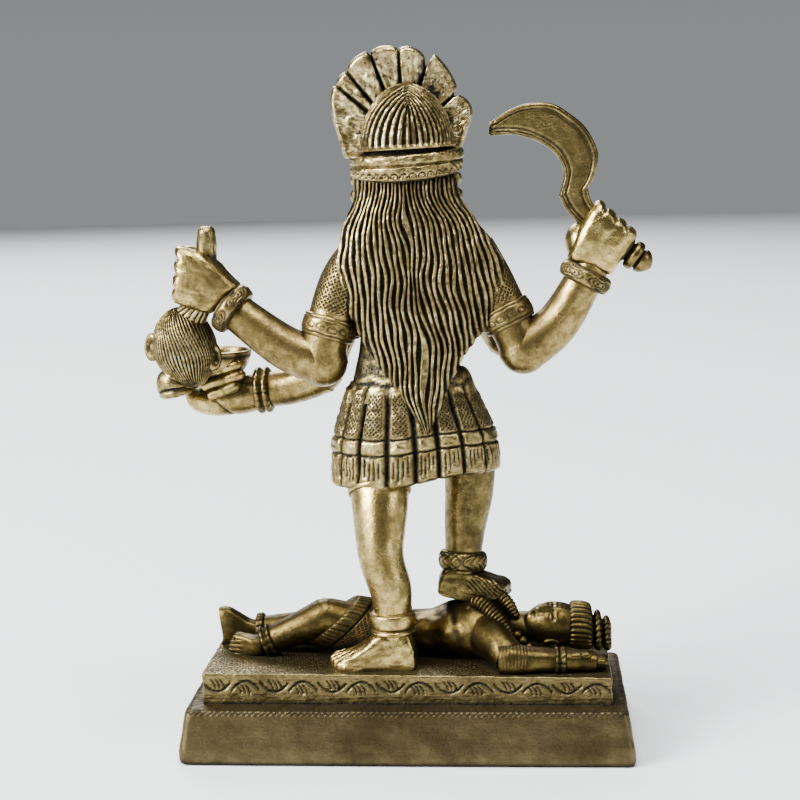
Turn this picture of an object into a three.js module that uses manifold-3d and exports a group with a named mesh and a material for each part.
// A souvenir-size brass casting of the four-armed goddess Kali, standing on the reclining Shiva.
// Two castings: the goddess with all that she wears and holds, and the two-tier plinth with Shiva.
// Millimetres, +Z up, origin at the middle of the plinth's underside. Her face looks along -Y and
// her left hand is on +X. Each form is a closed body, and the bodies of one casting are joined.
import * as THREE from 'three';
import { mergeVertices } from 'three/addons/utils/BufferGeometryUtils.js';
import Module from 'manifold-3d';

const wasm = await Module();
wasm.setup();

// Plinth: the lower tier flares towards its foot, and the upper tier is thinner at Shiva's head.
const lowerTierWidth = 125;
const lowerTierDepth = 58.8;
const lowerTierHeight = 15.4;
const lowerTierFlare = 1.9;
const lowerTierFootRound = 2.2;
const upperTierWidth = 116.4;
const upperTierDepth = 45;
const upperTierHeightAtFeet = 9;
const upperTierHeightAtHead = 7.8;
const tierSink = 1;

// Figures: the goddess from her soles to the top of her crown, Shiva from his soles to his topknot.
const goddessHeight = 175.6;
const shivaLength = 118;
// The goddess is a casting of her own, so her soles keep this gap to what they stand on.
const castingGap = 0.3;

// The goddess's canon: 176 parts from sole to crown. Shiva's canon: 118 parts of his length.
const goddessParts = 176;
const shivaParts = 118;
const groundLevel = lowerTierHeight + (upperTierHeightAtFeet + upperTierHeightAtHead) / 2;

// Carving that repeats.
const hairStrands = 20;
const capRibs = 18;
const skirtSideStep = 30;
const garlandHeads = 9;
const toeCount = 5;
const knuckleCount = 4;

const { clamp, degToRad, lerp, smoothstep } = THREE.MathUtils;
const vector = (x, y, z) => new THREE.Vector3(x, y, z);

// Closed triangle mesh to solid. Shared corners are merged, empty triangles are dropped, and a mesh
// that is inside out is turned.
function toSolid(geometry) {
  const bare = geometry.clone();
  bare.deleteAttribute('normal');
  bare.deleteAttribute('uv');
  const merged = mergeVertices(bare, 1e-4);
  const corners = merged.attributes.position.array;
  const indices = merged.index.array;
  const corner = (index) => vector(corners[3 * index], corners[3 * index + 1], corners[3 * index + 2]);
  const triangles = [];
  let volume = 0;
  for (let i = 0; i < indices.length; i += 3) {
    const [a, b, c] = indices.slice(i, i + 3);
    if (a !== b && b !== c && c !== a) {
      triangles.push(a, b, c);
      volume += corner(a).dot(corner(b).cross(corner(c)));
    }
  }
  if (volume < 0) triangles.reverse();
  return new wasm.Manifold(new wasm.Mesh({
    numProp: 3,
    vertProperties: new Float32Array(corners),
    triVerts: new Uint32Array(triangles),
  }));
}

function toGeometry(solid) {
  const mesh = solid.getMesh();
  const geometry = new THREE.BufferGeometry();
  geometry.setAttribute('position', new THREE.BufferAttribute(mesh.vertProperties, 3));
  geometry.setIndex(new THREE.BufferAttribute(mesh.triVerts, 1));
  return geometry;
}

const join = (solids) => solids.reduce((whole, solid) => whole.add(solid));

// A closed body whose skin is rings of points: pointAt(t, u) with t along it and u round it, both
// from 0 to 1. Each end closes on an apex, the middle of its ring unless one is given.
function ringedBody(rows, columns, pointAt, apexes = {}) {
  const positions = [];
  const triangles = [];
  const middle = (row) => {
    const sum = vector(0, 0, 0);
    for (let column = 0; column < columns; column += 1) {
      sum.add(pointAt(row / (rows - 1), column / columns));
    }
    return sum.divideScalar(columns);
  };
  for (let row = 0; row < rows; row += 1) {
    for (let column = 0; column < columns; column += 1) {
      positions.push(...pointAt(row / (rows - 1), column / columns));
    }
  }
  positions.push(...(apexes.start ?? middle(0)), ...(apexes.end ?? middle(rows - 1)));
  for (let column = 0; column < columns; column += 1) {
    const next = (column + 1) % columns;
    const lastRow = (rows - 1) * columns;
    triangles.push(rows * columns, next, column);
    triangles.push(rows * columns + 1, lastRow + column, lastRow + next);
    for (let row = 0; row < rows - 1; row += 1) {
      const here = row * columns;
      const above = here + columns;
      triangles.push(here + column, here + next, above + next);
      triangles.push(here + column, above + next, above + column);
    }
  }
  const geometry = new THREE.BufferGeometry();
  geometry.setAttribute('position', new THREE.Float32BufferAttribute(positions, 3));
  geometry.setIndex(triangles);
  return geometry;
}

// A smooth curve through rows of numbers: the row at t, from 0 to 1.
function smoothRows(rows) {
  return (t) => {
    const along = clamp(t, 0, 1) * (rows.length - 1);
    const index = Math.min(Math.floor(along), rows.length - 2);
    const f = along - index;
    const at = (step) => rows[clamp(index + step, 0, rows.length - 1)];
    const [a, b, c, d] = [at(-1), at(0), at(1), at(2)];
    return b.map((start, n) => {
      const slope = c[n] - a[n];
      const bend = 2 * a[n] - 5 * start + 4 * c[n] - d[n];
      const twist = 3 * start - a[n] - 3 * c[n] + d[n];
      return 0.5 * (2 * start + slope * f + bend * f * f + twist * f * f * f);
    });
  };
}

// The same, where the first number of each row is a height and the row wanted is the one at it.
function rowsByHeight(rows) {
  const curve = smoothRows(rows);
  return (height) => {
    let [low, high] = [0, 1];
    for (let step = 0; step < 24; step += 1) {
      const middle = (low + high) / 2;
      if (curve(middle)[0] > height) low = middle;
      else high = middle;
    }
    return curve(low).slice(1);
  };
}

const signedPower = (value, power) => Math.sign(value) * Math.abs(value) ** power;

// A limb: oval rings along a smooth path. Each station is x, y, z, the half width along across, and
// the half depth square to it. boxy above 2 squares the rings; ends stand out as round caps.
function limb(stations, { columns = 8, across = [0, 1, 0], boxy = 2, caps = [0.5, 0.5] } = {}) {
  const station = smoothRows(stations);
  const centre = (t) => vector(...station(t).slice(0, 3));
  const tangent = (t) => centre(Math.min(t + 0.02, 1)).sub(centre(Math.max(t - 0.02, 0))).normalize();
  const pointAt = (t, u) => {
    const [, , , width, depth] = station(t);
    const ahead = tangent(t);
    const side = vector(...across);
    side.addScaledVector(ahead, -side.dot(ahead)).normalize();
    const rise = ahead.clone().cross(side);
    const angle = 2 * Math.PI * u;
    return centre(t)
      .addScaledVector(side, width * signedPower(Math.cos(angle), 2 / boxy))
      .addScaledVector(rise, depth * signedPower(Math.sin(angle), 2 / boxy));
  };
  const cap = (t, share) => centre(t).addScaledVector(tangent(t), share * Math.min(...station(t).slice(3)));
  return ringedBody(stations.length, columns, pointAt, { start: cap(0, -caps[0]), end: cap(1, caps[1]) });
}

// A ball stretched to three half sizes and turned by x, y and z degrees.
function ball(centre, radii, { columns = 6, rows = 4, turn = [0, 0, 0] } = {}) {
  const euler = new THREE.Euler(...turn.map(degToRad));
  return new THREE.SphereGeometry(1, columns, rows)
    .rotateX(Math.PI / 2)
    .scale(...radii)
    .applyMatrix4(new THREE.Matrix4().makeRotationFromEuler(euler))
    .translate(...centre);
}

// A finger or thumb: a short round-ended roll from one point to another.
function roll(from, to, radius) {
  return limb([[...from, radius, radius], [...to, radius, radius]], { columns: 5, caps: [0.6, 0.6] });
}

// A limb's stations with a bangle turned into them: how many stations along it sits, its height
// along the limb, and how far it stands out.
function banded(stations, place, height, proud) {
  const curve = smoothRows(stations);
  const share = place / (stations.length - 1);
  const centre = curve(share);
  const ahead = vector(...curve(share + 0.01)).sub(vector(...curve(share - 0.01))).normalize();
  const ring = (offset, out) => {
    const middle = vector(...centre).addScaledVector(ahead, offset);
    return [...middle, centre[3] + out, centre[4] + out];
  };
  const rings = [
    ring(-height / 2, 0),
    ring(-0.36 * height, proud),
    ring(0.36 * height, proud),
    ring(height / 2, 0),
  ];
  const before = Math.ceil(place);
  return [...stations.slice(0, before), ...rings, ...stations.slice(before)];
}

// The sickle's pommel: two turned swells, square to its axis.
function pommel(centre, axis, radius, height) {
  const [waist, low] = [0.88 * radius, -height / 2];
  const profile = [
    [0, low], [waist, low], [radius, low / 2], [waist, 0], [radius, -low / 2], [waist, -low], [0, -low],
  ];
  const up = vector(...axis).normalize();
  const side = vector(0, 1, 0).addScaledVector(up, -up.y).normalize();
  const basis = new THREE.Matrix4().makeBasis(up.clone().cross(side).negate(), side, up);
  return new THREE.LatheGeometry(profile.map((point) => new THREE.Vector2(...point)), 8)
    .rotateX(Math.PI / 2)
    .applyMatrix4(basis)
    .translate(...centre);
}

// Lays a form out at full size: from canon parts to millimetres, on top of the plinth.
const goddess = (geometry) => {
  const part = goddessHeight / goddessParts;
  return toSolid(geometry.scale(part, part, part).translate(0, 0, groundLevel));
};
const shiva = (geometry, lift = 0) => {
  const part = shivaLength / shivaParts;
  return toSolid(geometry.scale(part, part, part).translate(0, 0, groundLevel + lift));
};

// The fan of petals round the crown, in canon parts. Each petal: where it starts and ends, in degrees
// from upright towards her right, and how far it reaches at its start, its middle and its end.
const crownMiddle = [-0.5, -8, 150];
const petals = [
  [-106, -52, 16.8, 19.6, 23.6], [-52, -39, 23.4, 25.2, 23.7], [-39, -20, 25.4, 27.2, 25.7],
  [-20, 0, 24.6, 26.4, 24.9], [0, 19, 24.4, 26.2, 24.7], [19, 50, 22.8, 24.6, 21.6], [50, 97, 21.2, 20.6, 17],
];

function crownFan() {
  const gap = 2;
  const grooveDrop = 2.6;
  const stops = [];
  petals.forEach(([from, to, first, reach, last], index) => {
    if (index > 0) stops.push([from, first - grooveDrop, 0.8]);
    stops.push([from + gap, first, 1.8], [lerp(from, to, 0.5), reach, 2], [to - gap, last, 1.8]);
  });
  const section = [[0.3, 1], [1, 0.8], [1, -0.8], [0.3, -1]];
  const lean = 0.1;
  return ringedBody(stops.length, section.length, (t, u) => {
    const [angle, reach, half] = stops[Math.round(t * (stops.length - 1))];
    const [share, side] = section[Math.round(u * section.length)];
    const out = share * reach;
    const turn = degToRad(angle);
    return vector(
      crownMiddle[0] - out * Math.sin(turn),
      crownMiddle[1] + side * half + lean * out,
      crownMiddle[2] + out * Math.cos(turn),
    );
  });
}

// The ribbed cap of hair: ribs run from the rim up to a whorl at the back of the crown.
function hairCap() {
  const columns = 2 * capRibs;
  const whorl = vector(-0.15, 0.5, 0.86).normalize();
  const radii = vector(13.4, 11.5, 18.4);
  const ribDepth = 0.7;
  return ringedBody(4, columns, (t, u) => {
    const angle = 2 * Math.PI * u;
    const rim = vector(Math.cos(angle), Math.sin(angle), 0);
    const spread = Math.acos(rim.dot(whorl));
    const share = 0.94 * t;
    const direction = rim.clone().multiplyScalar(Math.sin((1 - share) * spread))
      .addScaledVector(whorl, Math.sin(share * spread))
      .divideScalar(Math.sin(spread));
    const groove = Math.round(u * columns) % 2 === 0 ? 0 : ribDepth * (1 - 0.6 * t);
    const swell = 1 - groove / radii.x;
    return direction.multiply(radii).multiplyScalar(swell).add(vector(-1.4, 2, 147.5));
  });
}

// The headband round the whole head: a plain roll above a flatter band.
function headband() {
  const columns = 18;
  const profile = [[-3.6, 0.92], [-0.2, 0.95], [1.6, 1.02], [3, 0.9]];
  return ringedBody(profile.length, columns, (t, u) => {
    const [rise, share] = profile[Math.round(t * (profile.length - 1))];
    const angle = 2 * Math.PI * u;
    return vector(
      -1.3 + 16.4 * share * Math.cos(angle),
      -1 + 12.6 * share * Math.sin(angle),
      143 + rise,
    );
  });
}

// The mantle of hair down her back: height, left edge, right edge, how far back it stands, and how
// far back its edges stand.
const mantleRows = [
  [139.6, 13.2, -15.9, 11, 5],
  [134, 13.2, -17.2, 11.4, 6],
  [128, 15.8, -21.5, 12, 7],
  [122, 17.2, -25.4, 12.6, 8],
  [116.4, 18.3, -28.9, 13, 8.6],
  [109.5, 17, -28.9, 13.2, 8.6],
  [101, 14.6, -27, 13, 8.4],
  [93.5, 11.2, -20.8, 12.8, 8.4],
  [87.2, 7.4, -16.4, 12.8, 9],
  [80, 2.4, -12.8, 13.8, 11],
  [73, -2.9, -9.9, 15, 13],
  [68.2, -6, -7.4, 15.4, 14],
];

function hairMantle() {
  const row = rowsByHeight(mantleRows);
  const [top, bottom] = [mantleRows[0][0], mantleRows.at(-1)[0]];
  const strandPoints = 2 * hairStrands + 1;
  const frontPoints = 2;
  const columns = strandPoints + frontPoints;
  const grooveDepth = 0.9;
  const wave = 0.5;
  return ringedBody(7, columns, (t, u) => {
    const height = lerp(top, bottom, t);
    const [left, right, back, edge] = row(height);
    const column = Math.round(u * columns);
    if (column >= strandPoints) {
      const share = (column - strandPoints + 1) / (frontPoints + 1);
      return vector(lerp(right, left, share), Math.min(edge, 9) - 3, height);
    }
    const share = column / (strandPoints - 1);
    const spread = Math.abs(2 * share - 1) ** 3;
    const groove = column % 2 === 0 ? grooveDepth * Math.min(1, (left - right) / 12) : 0;
    const sway = wave * Math.sin(height / 5 + 3 * share) * (1 - spread);
    return vector(lerp(left, right, share) + sway, lerp(back, edge, spread) - groove, height);
  });
}

// The skirt: height, left edge, right edge, reach to the front and reach to the back.
const skirtRows = [
  [81, 16.4, -19, -9.5, 10.8],
  [79, 17.2, -20.2, -10, 11.8],
  [73, 19, -23.2, -11.5, 13],
  [66, 21, -26, -12.5, 14],
  [58.5, 21.7, -27.1, -13, 14.2],
  [50, 21.8, -26.8, -13, 14.2],
];
// Where the skirt's hanging arms part from each other at the back, in degrees from straight back
// towards her left, and then evenly round the front.
const fullTurn = 360;
const skirtBackGrooves = [-58, -37, -18, -2, 18, 40, 60];

// Bands of the skirt, from belt to hem: height on her left, height on her right, and how deep.
const skirtBands = [
  [81, 81, 1.4], [78.6, 79, 0.6], [66.4, 68.4, 0.6], [65.6, 67.6, 0], [61.9, 64.4, 0],
  [61.1, 63.6, 0.6], [51.2, 55.4, 0.4],
];

function skirtGrooves() {
  const grooves = [...skirtBackGrooves];
  const last = fullTurn + skirtBackGrooves[0];
  const count = Math.round((last - grooves.at(-1)) / skirtSideStep);
  const first = grooves.at(-1);
  for (let step = 1; step < count; step += 1) grooves.push(lerp(first, last, step / count));
  return grooves;
}

function skirt() {
  const outline = rowsByHeight(skirtRows);
  const grooves = skirtGrooves();
  const edge = 3.2;
  const columns = [];
  grooves.forEach((groove, index) => {
    const next = grooves[index + 1] ?? fullTurn + grooves[0];
    columns.push([groove, 1.1], [groove + edge, 0], [next - edge, 0]);
  });
  return ringedBody(skirtBands.length, columns.length, (t, u) => {
    const [angle, notch] = columns[Math.round(u * columns.length)];
    const [highLeft, highRight, inset] = skirtBands[Math.round(t * (skirtBands.length - 1))];
    const turn = degToRad(angle);
    const tilt = smoothstep(-Math.sin(turn), -0.5, 0.6);
    const height = lerp(highLeft, highRight, tilt);
    const [left, right, front, back] = outline(height);
    const reach = Math.cos(turn) > 0 ? back : -front;
    const depth = inset + (t > 0 ? notch : 0);
    return vector(
      (left + right) / 2 + ((left - right) / 2 - depth) * Math.sin(turn),
      (reach - depth) * Math.cos(turn),
      height,
    );
  });
}

// A head for carving: an egg with brow, nose, lips and chin raised on the side it faces, -Y.
function carvedHead(centre, radii, { columns = 12, rows = 9, frame = new THREE.Matrix4() } = {}) {
  const bump = (x, z, atX, atZ, wide, tall) => Math.exp(-(((x - atX) / wide) ** 2) - ((z - atZ) / tall) ** 2);
  const pointAt = (t, u) => {
    const polar = Math.PI * lerp(0.04, 0.96, t);
    const angle = 2 * Math.PI * u;
    const x = Math.sin(polar) * Math.cos(angle);
    const y = Math.sin(polar) * Math.sin(angle);
    const z = Math.cos(polar);
    const jaw = 1 - 0.18 * smoothstep(-z, 0.1, 1);
    const front = y < 0 ? 1 : 0;
    const nose = 0.26 * bump(x, z, 0, -0.12, 0.16, 0.24);
    const brow = 0.07 * bump(Math.abs(x), z, 0.34, 0.2, 0.3, 0.1);
    const socket = -0.08 * bump(Math.abs(x), z, 0.36, 0.03, 0.2, 0.12);
    const lips = 0.1 * bump(x, z, 0, -0.46, 0.26, 0.08);
    const chin = 0.09 * bump(x, z, 0, -0.74, 0.28, 0.14);
    const raised = front * (nose + brow + socket + lips + chin);
    return vector(x * radii[0] * jaw, (y - raised) * radii[1], z * radii[2]);
  };
  const apexes = { start: vector(0, 0, radii[2]), end: vector(0, 0, -radii[2]) };
  return ringedBody(rows, columns, pointAt, apexes).applyMatrix4(frame).translate(...centre);
}

// A closed hand, as slices side by side along its knuckles: each slice runs from the wrist over the
// back of the hand to the knuckle and back under the curled finger, and is pulled in between fingers.
function fist({ wrist, knuckleFrom, knuckleTo, half, thumb }) {
  const [from, to] = [vector(...knuckleFrom), vector(...knuckleTo)];
  const along = to.clone().sub(from);
  const wristSpan = 0.62;
  const section = [
    [-0.1, 0.75], [0.5, 1], [0.9, 1], [1, 0.35],
    [0.98, -0.7], [0.7, -1.05], [0.3, -1], [-0.1, -0.75],
  ];
  const hand = ringedBody(2 * knuckleCount + 1, section.length, (t, u) => {
    const slice = Math.round(2 * knuckleCount * t);
    const [reach, side] = section[Math.round(u * section.length)];
    const inset = slice % 2 === 0 && reach > 0.6 ? 0.07 : 0;
    const knuckle = from.clone().addScaledVector(along, t);
    const start = vector(...wrist).addScaledVector(along, (t - 0.5) * wristSpan);
    const edge = 1 - 0.22 * Math.abs(2 * t - 1) ** 4;
    const point = start.lerp(knuckle, reach - inset);
    return point.setY(point.y + side * half * edge * (1 - 1.5 * inset));
  });
  return [hand, roll(...thumb, 2.6)];
}

// A foot along X, as slices side by side across it, so that each toe is a slice that stands out.
// ahead is +1 or -1 along X, and firstToe is the side of the big toe, +1 or -1 along Y.
function foot({ heel, length, ahead, firstToe }) {
  const profile = [[0.02, 0], [-0.02, 4], [0.08, 9.4], [0.4, 9], [0.72, 6], [0.99, 4.2], [0.97, 0]];
  return ringedBody(2 * toeCount + 1, profile.length, (t, u) => {
    const slice = Math.round(2 * toeCount * t);
    const [share, height] = profile[Math.round(u * profile.length)];
    const across = 2 * t - 1;
    const toe = share > 0.9 ? 1 : 0;
    const between = slice % 2 === 0 ? 1 : 0;
    const reach = share - toe * (0.05 * between + 0.07 * (across * firstToe - 0.6) ** 2);
    const halfWidth = lerp(4.3, 6, smoothstep(share, 0.1, 0.8));
    const round = 1 - 0.3 * across ** 4 - (share > 0.6 ? 0.16 * between : 0);
    return vector(heel[0] + ahead * reach * length, heel[1] + halfWidth * across, heel[2] + height * round);
  });
}

// The sickle: a flat blade with a hooked back, gripped where its two edges come together.
function sickle() {
  const outer = [[-25.2, 153.4], [-32.7, 158.2], [-41.1, 159.3], [-49.2, 155.6], [-54.6, 149], [-55.5, 142]];
  const inner = [
    [-45.6, 137.4], [-45.7, 141.5], [-43.4, 145.6],
    [-38.6, 148.8], [-32, 150.6], [-25.6, 150.2],
  ];
  const blade = new THREE.Shape();
  blade.moveTo(...outer[0]);
  blade.splineThru(outer.slice(1).map((point) => new THREE.Vector2(...point)));
  blade.lineTo(-52.6, 135);
  blade.lineTo(-57, 128);
  blade.lineTo(-53, 124);
  blade.lineTo(-44.4, 132);
  blade.lineTo(...inner[0]);
  blade.splineThru(inner.slice(1).map((point) => new THREE.Vector2(...point)));
  const thick = 2.8;
  return new THREE.ExtrudeGeometry(blade, { depth: thick, curveSegments: 4, bevelEnabled: false })
    .rotateX(Math.PI / 2)
    .translate(0, 3 + thick / 2, 0);
}

// The goddess's trunk: height and middle of each ring, half width and half depth.
function trunk() {
  return limb([
    [-1.6, 1, 78, 9.8, 18.6],
    [-0.9, 0.5, 85.6, 8.6, 15],
    [-1.6, 0.8, 93, 8.4, 14.4],
    [-3.6, 1.2, 102, 9.4, 17.4],
    [-5, 1.6, 111, 9.6, 21],
    [-5.4, 1.8, 118, 8.4, 20.4],
    [-3.2, 1.2, 124, 6.8, 11],
    [-1.6, 0, 130, 6, 6.6],
  ], { columns: 10 });
}

function goddessArms() {
  const armLeft = [
    [11, 1.5, 119, 6.6, 6.4], [17, 2, 110, 7, 7], [22.4, 3.4, 94, 6.4, 6.6], [23.2, 3.6, 87.4, 6.6, 7.2],
  ];
  const forearmLeft = [[22.6, 3.6, 87.4, 6.4, 7], [35, 3.2, 92.3, 6, 6.3], [52, 1.2, 105, 5, 5.2]];
  const armRight = [
    [-19, 1.5, 121, 6.6, 7], [-24.6, 2.4, 110, 7, 7], [-32, 3.6, 95.6, 6.2, 6.4], [-34.2, 4, 90.6, 6.6, 7.2],
  ];
  const forearmRight = [[-34.6, 4, 90.4, 6.6, 7], [-44.6, 4, 98.8, 5.9, 6.1], [-54.6, 4, 116, 4.8, 5]];
  const armLowerLeft = [[11, -3, 116, 5.6, 6], [18, -7.6, 100, 5.6, 5.8], [25, -9, 83.4, 5.6, 5.6]];
  const forearmLowerLeft = [[24, -9, 82.6, 5.4, 5.6], [35, -11, 78.6, 5.2, 5.4], [48, -12, 77, 4.8, 4.8]];
  const armLowerRight = [[-18, -3, 117, 5.6, 6], [-24, -6, 104, 5.4, 5.6], [-29, -8, 93, 5.2, 5.4]];
  const forearmLowerRight = [
    [-29, -8.4, 92, 5, 5.4], [-24, -14.6, 98, 4.8, 5], [-17.6, -20.4, 106, 4.2, 4.2],
  ];
  return [
    banded(armLeft, 1.75, 6.2, 0.9), banded(forearmLeft, 1.78, 4.2, 1.9),
    banded(armRight, 1.65, 6.2, 0.9), banded(forearmRight, 1.71, 4.4, 2.3),
    armLowerLeft, banded(forearmLowerLeft, 1.56, 4.6, 1.8),
    armLowerRight, banded(forearmLowerRight, 1.6, 3.6, 1.3),
  ].map((stations) => limb(stations, { caps: [0.6, 0.7] }));
}

function goddessHands() {
  const hairFist = fist({
    wrist: [51, 1, 104.4], knuckleFrom: [66, 0.4, 101.6], knuckleTo: [65, 0.4, 121], half: 6.8,
    thumb: [[54, -4.6, 118.4], [61.4, -4.8, 119.4]],
  });
  const sickleFist = fist({
    wrist: [-53.4, 4, 112], knuckleFrom: [-68, 3, 124], knuckleTo: [-54.4, 3, 133], half: 6.6,
    thumb: [[-50.4, -1.6, 121], [-53, -3, 127]],
  });
  const bowlHand = [
    limb([
      [45, -12, 77, 5.4, 5], [53, -12, 75, 6.4, 4.8],
      [60, -12.4, 74.6, 6, 4.8], [64.4, -12.6, 75.4, 4.6, 4],
    ], { boxy: 2.4 }),
    roll([50, -6.6, 79.4], [60, -5.6, 85], 2.5),
    roll([47.6, -5.4, 76.8], [57, -3.6, 80.4], 2.6),
    roll([56, -18, 77], [64, -18.4, 84], 2.3),
  ];
  const raisedPalm = [
    limb([[-17.2, -20.2, 106, 4.4, 3], [-15.4, -21.4, 111.4, 4.8, 2.8], [-14.6, -22, 116.4, 4.8, 2.4]],
      { across: [1, 0, 0], boxy: 2.6 }),
    roll([-10.8, -21.6, 110.6], [-8.4, -22.4, 116], 1.4),
  ];
  for (let finger = 0; finger < knuckleCount; finger += 1) {
    const x = lerp(-18.2, -11.4, finger / (knuckleCount - 1));
    raisedPalm.push(roll([x, -22, 114.4], [x, -22.4, 124.6 - 0.5 * Math.abs(x + 14)], 1.3));
  }
  return [...hairFist, ...sickleFist, ...bowlHand, ...raisedPalm];
}

// What her hands hold: the sickle with its handle, the severed head by its hair, and the bowl.
function goddessAttributes() {
  const handle = limb([[-48, 3, 129.6, 2.6, 2.6], [-64, 3, 117, 2.6, 2.6]]);
  const swells = pommel([-66.4, 3, 115.6], [-0.77, 0, -0.63], 4.2, 6);
  const knob = ball([-68.6, 3, 114.2], [2.6, 2.6, 2.6]);
  const lock = limb([[56.6, 0.6, 126, 2.3, 2.3], [57.6, 0.4, 114, 2.6, 2.6], [62, -2.6, 101, 4, 4]],
    { columns: 6 });
  const lean = new THREE.Matrix4().makeRotationY(degToRad(12));
  const severed = carvedHead([65, -4, 90.4], [9.4, 9.4, 13], { columns: 10, rows: 7, frame: lean });
  const neck = limb([[66.6, -3.6, 84, 5.6, 5.6], [68, -3.4, 76.6, 5.2, 5.2]], { caps: [0, 0.1] });
  const ears = [ball([55.4, -3, 89.6], [1.4, 2.4, 3.4]), ball([74.2, -3, 91], [1.6, 2.6, 4.6])];
  const bowlProfile = [[0, 0], [4.4, 0.2], [8.2, 3.4], [9.8, 8.6], [8.6, 8.6], [6.4, 4.2], [0, 3]];
  const bowl = new THREE.LatheGeometry(bowlProfile.map((point) => new THREE.Vector2(...point)), 10)
    .rotateX(Math.PI / 2)
    .translate(56.4, -12.4, 81);
  return [sickle(), handle, swells, knob, lock, severed, neck, ...ears, bowl];
}

function goddessHead() {
  const face = carvedHead([-1.4, -3.4, 137.6], [11.2, 11.2, 14.6], { columns: 14, rows: 10 });
  const hairBack = ball([-1.4, 0, 141], [13, 10.6, 8], { columns: 8, rows: 4 });
  const tongue = limb([[-1.4, -13.4, 130.4, 1.5, 0.8], [-1.4, -14.8, 127.6, 1.2, 0.7]],
    { columns: 4, across: [1, 0, 0] });
  const earrings = [-14.8, 12.2].map((x) => ball([x, -1.6, 135.6], [2.6, 2.8, 6.6]));
  const jewel = ball([-0.8, -10.4, 160], [3.2, 2.4, 4.6]);
  return [face, hairBack, tongue, ...earrings, jewel, hairCap(), headband(), crownFan()];
}

function goddessOrnaments() {
  const breasts = [4.4, -12.6].map((x) => ball([x, -8.4, 107.6], [7, 5.6, 7], { columns: 8, rows: 5 }));
  const hang = smoothRows([[12.4, -4.6, 110], [9.6, -6.6, 92], [4, -11, 76], [-2.6, -13.4, 67],
    [-8.6, -11, 76], [-12.8, -6.6, 92], [-17, -7, 110]]);
  const rings = 2 * garlandHeads;
  const garland = [];
  for (let ring = 0; ring <= rings; ring += 1) {
    const half = ring % 2 === 1 ? 2.9 : 1.3;
    garland.push([...hang(ring / rings), half, half]);
  }
  return [...breasts, limb(garland, { columns: 5 })];
}

// Her left leg is straight and carries her; her right leg is bent and steps on Shiva's chest.
function goddessLegs() {
  const straight = [
    [8.4, 4, 62, 10, 9.6], [7.5, 7.6, 46, 8.4, 8.2], [7.2, 11, 32.4, 7.4, 6.6], [4.4, 12.3, 22, 6.6, 6],
    [4, 12.8, 13, 5.2, 5], [4, 12.8, 7, 5.2, 5],
  ];
  const standing = limb(banded(straight, 4, 6.6, 1.4), { columns: 10 });
  const thigh = limb([[-10, 2, 66, 10, 10], [-15.4, -4, 64, 9.6, 10], [-18.4, -9.6, 60, 8.6, 8.8]],
    { columns: 10, across: [1, 0, 0], caps: [0.3, 0.6] });
  const bent = [
    [-18.2, -8.6, 60, 7.6, 7.4], [-17.8, -7.2, 48, 7.2, 7.2],
    [-16.4, -5.4, 36, 6.4, 6], [-15.6, -4, 24, 5, 4.8],
  ];
  const shin = limb(banded(bent, 2.66, 4.8, 1.3), { columns: 10 });
  const feet = [
    foot({ heel: [-2, 13.4, -1], length: 24.6, ahead: 1, firstToe: -1 }),
    foot({ heel: [-9, -4.4, 16.6], length: 21, ahead: -1, firstToe: -1 }),
  ];
  const peg = limb([[-17.6, -4, 19, 3.6, 4], [-18, -4, 10.6, 3.6, 4]], { columns: 6 });
  return [standing, thigh, shin, ...feet, peg];
}

// Shiva, on his back with his head to -X, in his own canon: z from the plinth's top.
function shivaBody() {
  const torso = limb([
    [17, -4, 5, 8, 5.4], [9, -4, 5.8, 9.4, 6.6], [1, -3.8, 5.4, 9, 6.4], [-7, -3.6, 5.6, 9.6, 6.6],
    [-13.6, -3.4, 6.8, 12, 8], [-20, -3.4, 6.6, 13.4, 8.6],
    [-27, -3.4, 6.2, 12.4, 7], [-31.4, -2.6, 6, 5.4, 5],
  ], { columns: 10 });
  const neck = limb([[-28, -2.4, 7, 4.6, 4.6], [-37, -1.2, 7.6, 4.4, 4.4]]);
  return [torso, neck];
}

function shivaLegs() {
  const nearThigh = limb([[9, 0.4, 7.2, 6.6, 6.6], [17, 0.8, 9, 6.2, 6.4], [25, 1.6, 11.8, 5.4, 5.4]]);
  const nearShinStations = [[24.6, 1.6, 11.8, 5.2, 5.4], [31, 2.4, 8.8, 5, 5], [43, 3.2, 4, 3.2, 3.6]];
  const nearShin = limb(banded(nearShinStations, 1.84, 3.4, 1.2));
  const farThigh = limb([[9, -9, 6, 6, 6], [24, -9, 6.4, 5, 5.6]]);
  const farShin = limb(banded([[23, -9, 6.2, 4.8, 5.2], [47, -9, 4.4, 3.8, 4]], 0.9, 2.4, 1));
  const cloth = limb([[6, -0.4, 7.2, 7.6, 7.2], [14, 0.2, 8.2, 7.2, 7.2], [21, 1, 10.2, 6.4, 6.6]]);
  const nearFoot = limb([[41, 3.2, 4, 3, 4], [46, 3.6, 3.6, 3.8, 3.8], [51.6, 3.4, 3.2, 3.6, 3.4]],
    { boxy: 2.6 });
  const farFoot = limb([[48, -9, 3.4, 3, 3.6], [53, -9, 4, 3.2, 4.4], [57.4, -9, 5.2, 3.4, 5.6]],
    { boxy: 3 });
  return [nearThigh, nearShin, farThigh, farShin, cloth, nearFoot, farFoot];
}

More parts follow.
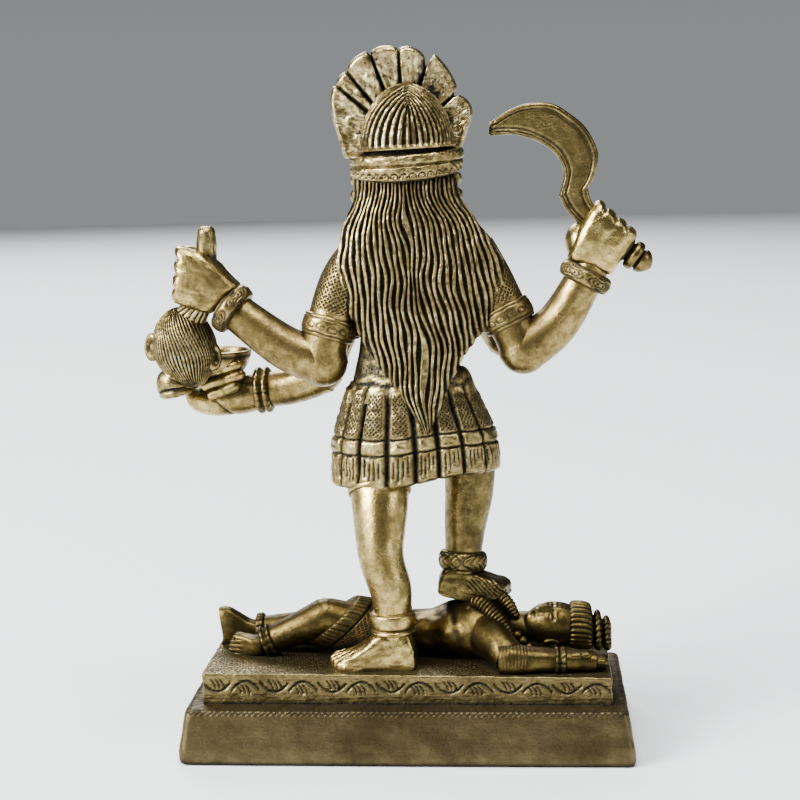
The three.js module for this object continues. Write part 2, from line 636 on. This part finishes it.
function shivaArms() {
  const nearArm = limb([[-22, 5, 7, 6, 6], [-26, 12, 5.4, 5, 5.2], [-30, 17, 3.2, 4.6, 4.6]],
    { across: [1, 0, 0] });
  const forearm = (y) => limb(
    banded([[-28, y, 3.2, 4.6, 4.2], [-48, y, 2.4, 3.7, 3.2], [-57.6, y, 1.4, 3.4, 2.4]], 0.68, 3.4, 0.9),
    { boxy: 2.6 },
  );
  const farArm = limb([[-22, -12, 7, 6, 6], [-27, -17, 5, 5, 5]], { across: [1, 0, 0] });
  return [nearArm, farArm, forearm(18), forearm(-17.6)];
}

// His head lies with its crown to -X and its face up, turned a little to the side of her soles.
function shivaHead() {
  const turn = degToRad(20);
  const up = vector(0, Math.sin(turn), Math.cos(turn));
  const crown = vector(-1, 0, 0);
  const back = up.clone().negate();
  const frame = new THREE.Matrix4().makeBasis(back.clone().cross(crown), back, crown);
  const face = carvedHead([-42.4, 0, 8.6], [6.6, 7, 9.4], { columns: 10, rows: 8, frame });
  const rolls = [[-47.4, 6, 8.4], [-48.2, 7, 8.4], [-52.8, 6.8, 8.2], [-53.6, 4.4, 7.4], [-54.2, 5.7, 7],
    [-56, 5.5, 6.6], [-56.6, 3.6, 6.2], [-57.2, 4.8, 6], [-59, 4.4, 5.8]];
  const hair = ringedBody(rolls.length, 10, (t, u) => {
    const [x, half, height] = rolls[Math.round(t * (rolls.length - 1))];
    return vector(x, half * Math.cos(2 * Math.PI * u), height + half * Math.sin(2 * Math.PI * u));
  });
  return [face, hair];
}

// One closed stack of rectangles: each row is a height and how far its sides stand in from full.
function rectangleStack(width, depth, rows) {
  return ringedBody(rows.length, 4, (t, u) => {
    const [height, inset] = rows[Math.round(t * (rows.length - 1))];
    const angle = Math.PI / 4 + 2 * Math.PI * u;
    return vector(
      Math.sign(Math.cos(angle)) * (width / 2 - inset),
      Math.sign(Math.sin(angle)) * (depth / 2 - inset),
      height,
    );
  });
}

function plinthTiers() {
  const round = lowerTierFootRound;
  const lower = rectangleStack(lowerTierWidth + 2 * lowerTierFlare, lowerTierDepth + 2 * lowerTierFlare, [
    [0, 0.45 * round], [0.3 * round, 0.1 * round], [round, 0],
    [lowerTierHeight / 2, 0.4 * lowerTierFlare], [lowerTierHeight - 0.4, lowerTierFlare],
    [lowerTierHeight, lowerTierFlare + 0.4],
  ]);
  const slope = (x) => {
    const share = 0.5 + x / upperTierWidth;
    return lowerTierHeight + lerp(upperTierHeightAtHead, upperTierHeightAtFeet, share);
  };
  const upper = new THREE.BoxGeometry(upperTierWidth, upperTierDepth, 1);
  const corners = upper.attributes.position;
  for (let i = 0; i < corners.count; i += 1) {
    corners.setZ(i, corners.getZ(i) > 0 ? slope(corners.getX(i)) : lowerTierHeight - tierSink);
  }
  return [lower, upper];
}

// The plinth casting, which can be raised a little to cut what stands on it.
function plinthCasting(lift = 0) {
  const tiers = plinthTiers().map((geometry) => toSolid(geometry.translate(0, 0, lift)));
  const bodies = [...shivaBody(), ...shivaLegs(), ...shivaArms(), ...shivaHead()];
  return join([...tiers, ...bodies.map((geometry) => shiva(geometry, lift))]);
}

function goddessCasting() {
  const forms = [
    trunk(), skirt(), hairMantle(), ...goddessHead(), ...goddessArms(), ...goddessHands(),
    ...goddessAttributes(), ...goddessOrnaments(), ...goddessLegs(),
  ];
  return join(forms.map(goddess)).subtract(plinthCasting(castingGap));
}

const brass = () => new THREE.MeshStandardMaterial({ color: '#b59c63', roughness: 0.38, metalness: 1 });

function casting(name, solid) {
  const mesh = new THREE.Mesh(toGeometry(solid), brass());
  mesh.name = name;
  return mesh;
}

const group = new THREE.Group();
group.add(casting('shiva_plinth', plinthCasting()));
group.add(casting('kali_figure', goddessCasting()));

export default group;
